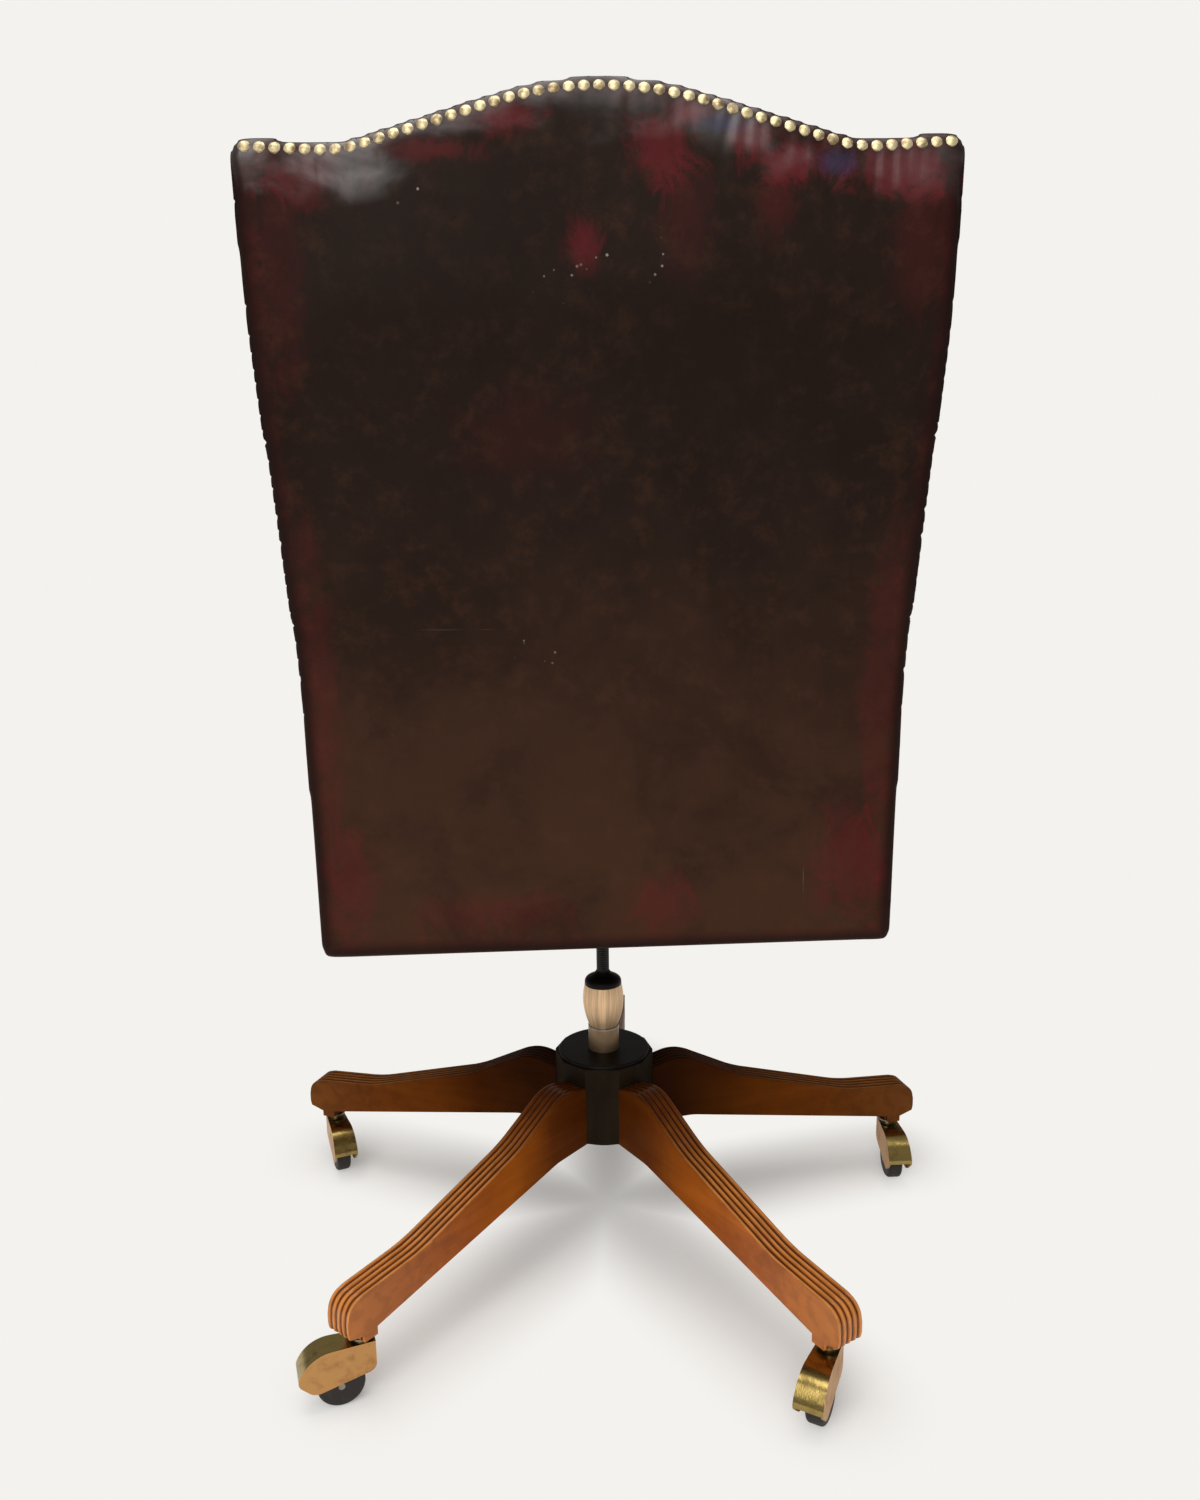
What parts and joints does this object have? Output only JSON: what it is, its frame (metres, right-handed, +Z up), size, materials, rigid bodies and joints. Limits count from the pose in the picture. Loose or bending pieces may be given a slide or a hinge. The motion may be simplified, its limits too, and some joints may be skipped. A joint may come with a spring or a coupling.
{
  "type": "swivel chair",
  "caption": "High-backed swivel desk chair in buttonless leather with a nailed, camel-backed crest, padded armrests, and a reeded wooden star base on hooded castors.",
  "frame": {"origin": "on the floor directly under the spindle's axis", "axes": "+Z up along the spindle's axis; -Y the way the sitter faces, so +Y is the chair's back; +X the sitter's left"},
  "size_m": [0.7344, 0.7416, 1.093],
  "materials": {
    "oxblood_leather": "worn satin",
    "base_wood": "satin lacquer",
    "armrest_wood": "satin lacquer",
    "hub_wood": "dark satin lacquer",
    "frame_wood": "unfinished",
    "webbing": "woven jute",
    "brass": "worn satin",
    "nut_brass": "brushed",
    "nail_brass": "polished",
    "black_metal": "satin black",
    "steel": "brushed",
    "wheel_rubber": "matte",
    "knob_plastic": "matte"
  },
  "bodies": {
    "base": {"hub_core": "hub_wood", "hub_cap": "black_metal", "column_tube": "steel", "guide_bush": "steel", "thrust_washer": "steel", "spider_plate": "black_metal", "spider_screws": "steel", "arm_1": "base_wood", "arm_2": "base_wood", "arm_3": "base_wood", "arm_4": "base_wood", "arm_5": "base_wood", "castor_sockets": "steel"},
    "castor_1": {"castor_hood_1": "brass", "castor_pins_1": "steel"},
    "castor_2": {"castor_hood_2": "brass", "castor_pins_2": "steel"},
    "castor_3": {"castor_hood_3": "brass", "castor_pins_3": "steel"},
    "castor_4": {"castor_hood_4": "brass", "castor_pins_4": "steel"},
    "castor_5": {"castor_hood_5": "brass", "castor_pins_5": "steel"},
    "wheel_1": {"castor_wheel_1": "wheel_rubber"},
    "wheel_2": {"castor_wheel_2": "wheel_rubber"},
    "wheel_3": {"castor_wheel_3": "wheel_rubber"},
    "wheel_4": {"castor_wheel_4": "wheel_rubber"},
    "wheel_5": {"castor_wheel_5": "wheel_rubber"},
    "nut": {"height_nut": "nut_brass", "nut_cap": "black_metal"},
    "column": {"spindle": "black_metal", "stop_collar": "steel"},
    "mechanism": {"tilt_housing": "black_metal", "swivel_bush": "steel", "tilt_pin": "steel"},
    "seat": {"seat_plate": "black_metal", "plate_screws": "steel", "cross_bearers": "frame_wood", "seat_rail_front": "frame_wood", "seat_rail_back": "frame_wood", "seat_rail_left": "frame_wood", "seat_rail_right": "frame_wood", "seat_webbing": "webbing", "seat_border": "oxblood_leather", "seat_cushion": "oxblood_leather", "stile_left": "frame_wood", "stile_right": "frame_wood", "crest_rail": "frame_wood", "back_border": "oxblood_leather", "outside_back": "oxblood_leather", "inside_back": "oxblood_leather", "back_nails": "nail_brass", "arm_frame_left": "armrest_wood", "arm_frame_right": "armrest_wood", "arm_pad_left": "oxblood_leather", "arm_pad_right": "oxblood_leather", "tension_bolt": "steel", "tilt_spring": "steel"},
    "cup": {"spring_cup": "black_metal"},
    "knob": {"tension_knob": "knob_plastic"}
  },
  "joints": [
    {"name": "castor_swivel_1", "type": "hinge", "parent": "base", "child": "castor_1", "pos_m": [-0.02242, -0.3563, 0.06], "axis": [0, 0, 1], "continuous": true},
    {"name": "wheel_spin_1", "type": "hinge", "parent": "castor_1", "child": "wheel_1", "pos_m": [-0.02022, -0.33541, 0.0217], "axis": [-0.9945, 0.1045, 0], "continuous": true},
    {"name": "castor_swivel_2", "type": "hinge", "parent": "base", "child": "castor_2", "pos_m": [0.33193, -0.13142, 0.06], "axis": [0, 0, 1], "continuous": true},
    {"name": "wheel_spin_2", "type": "hinge", "parent": "castor_2", "child": "wheel_2", "pos_m": [0.32389, -0.11202, 0.0217], "axis": [-0.9239, -0.3827, 0], "continuous": true},
    {"name": "castor_swivel_3", "type": "hinge", "parent": "base", "child": "castor_3", "pos_m": [0.22756, 0.27507, 0.06], "axis": [0, 0, 1], "continuous": true},
    {"name": "wheel_spin_3", "type": "hinge", "parent": "castor_3", "child": "wheel_3", "pos_m": [0.24753, 0.28156, 0.0217], "axis": [-0.309, 0.9511, 0], "continuous": true},
    {"name": "castor_swivel_4", "type": "hinge", "parent": "base", "child": "castor_4", "pos_m": [-0.19129, 0.30142, 0.06], "axis": [0, 0, 1], "continuous": true},
    {"name": "wheel_spin_4", "type": "hinge", "parent": "castor_4", "child": "wheel_4", "pos_m": [-0.18105, 0.31976, 0.0217], "axis": [-0.8729, 0.4879, 0], "continuous": true},
    {"name": "castor_swivel_5", "type": "hinge", "parent": "base", "child": "castor_5", "pos_m": [-0.34578, -0.08878, 0.06], "axis": [0, 0, 1], "continuous": true},
    {"name": "wheel_spin_5", "type": "hinge", "parent": "castor_5", "child": "wheel_5", "pos_m": [-0.34615, -0.06778, 0.0217], "axis": [-0.9998, -0.0175, 0], "continuous": true},
    {"name": "height_nut_turn", "type": "hinge", "parent": "base", "child": "nut", "pos_m": [0, 0, 0.25], "axis": [0, 0, 1], "range_deg": [-4340, 1820]},
    {"name": "seat_height", "type": "slide", "parent": "base", "child": "column", "axis": [0, 0, 1], "range_m": [-0.025, 0.06]},
    {"name": "seat_swivel", "type": "hinge", "parent": "column", "child": "mechanism", "pos_m": [0, 0, 0.35], "axis": [0, 0, 1], "continuous": true},
    {"name": "seat_tilt", "type": "hinge", "parent": "mechanism", "child": "seat", "pos_m": [0, 0.01, 0.383], "axis": [-1, 0, 0], "range_deg": [0, 12], "stiffness_Nm_per_rad": 120, "springref_deg": -20.05, "deforming": ["tilt_spring"]},
    {"name": "tension_slide", "type": "slide", "parent": "seat", "child": "cup", "axis": [0, 0, 1], "range_m": [-0.0025, 0.0075], "deforming": ["tilt_spring"]},
    {"name": "tension_knob_turn", "type": "hinge", "parent": "cup", "child": "knob", "pos_m": [0, -0.048, 0.32], "axis": [0, 0, 1], "range_deg": [-740, 2180]}
  ],
  "couplings": [
    {"joint": "height_nut_turn", "follows": "seat_height", "rad_per_m": -1256.6},
    {"joint": "tension_knob_turn", "follows": "tension_slide", "rad_per_m": 5026.5}
  ]
}
